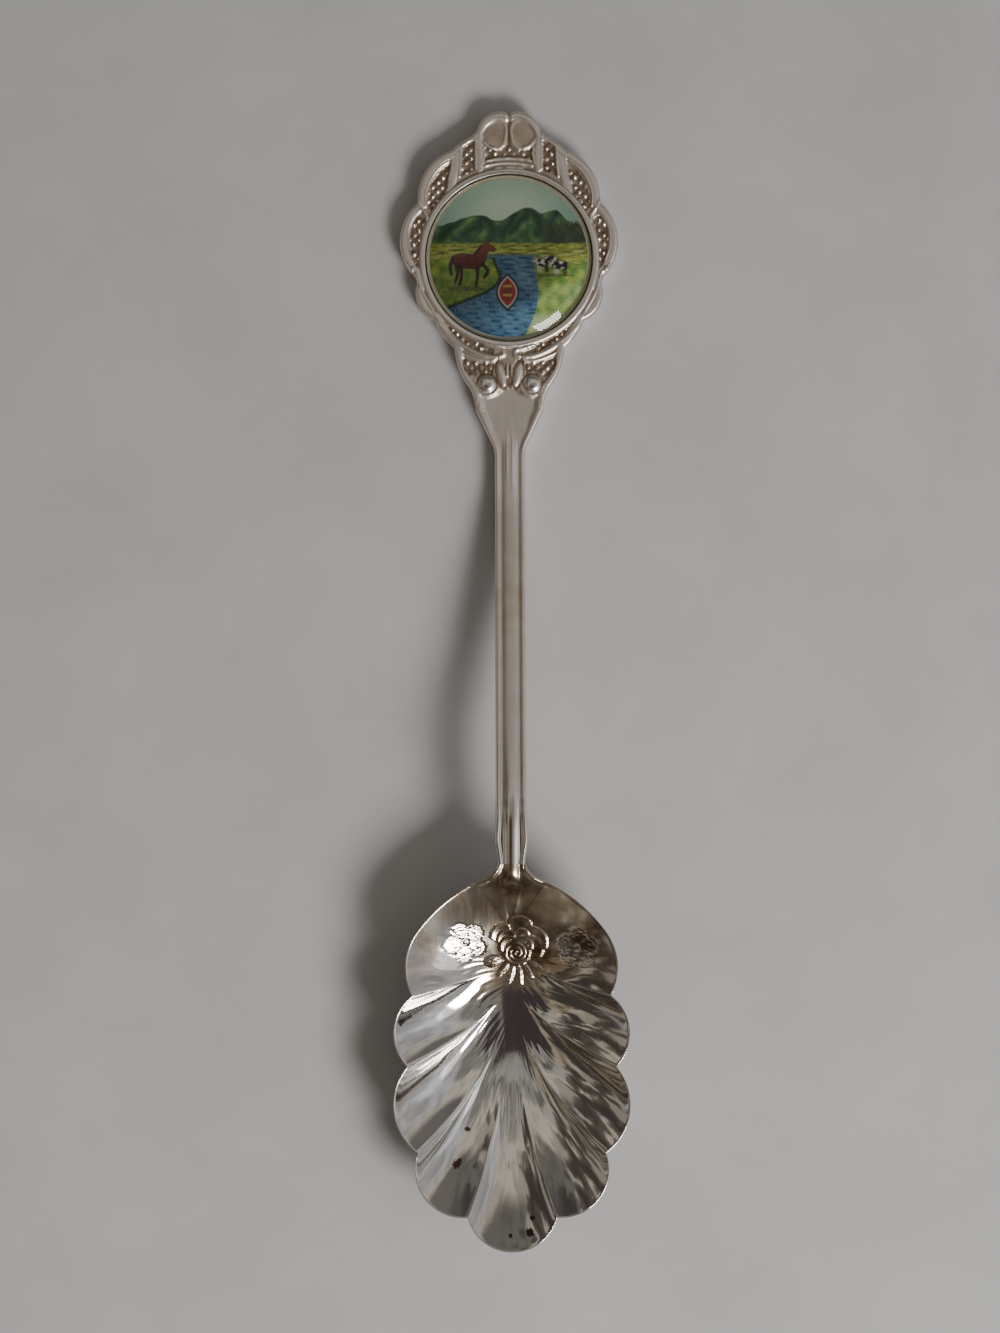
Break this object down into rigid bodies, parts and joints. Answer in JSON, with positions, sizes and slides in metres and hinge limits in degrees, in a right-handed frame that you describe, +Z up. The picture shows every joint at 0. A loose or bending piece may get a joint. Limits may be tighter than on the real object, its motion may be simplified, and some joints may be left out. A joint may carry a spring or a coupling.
{
  "type": "souvenir teaspoon",
  "caption": "Small silver-coloured display teaspoon with a leaf-fluted bowl, a slim threaded stem and a scrolled head that holds a domed round landscape picture.",
  "frame": {"origin": "on the surface the spoon lies on, under the middle of its overall length and width", "axes": "+Y along the spoon from the bowl's tip towards the head, +Z up out of the hollow of the bowl, +X to the right when the head points away from the viewer"},
  "size_m": [0.0238, 0.115, 0.0081],
  "materials": {
    "metal": "worn silver plate, satin on the handle and bright in the bowl, with brown tarnish",
    "adhesive": "dried clear adhesive",
    "label": "white label seen as a cream ring",
    "picture": "colour print of a valley with a river",
    "dome": "clear cast resin"
  },
  "bodies": {
    "root": {"spoon_blank": "metal", "adhesive_film": "adhesive", "label_disc": "label", "picture_film": "picture", "clear_dome": "dome"}
  },
  "joints": []
}
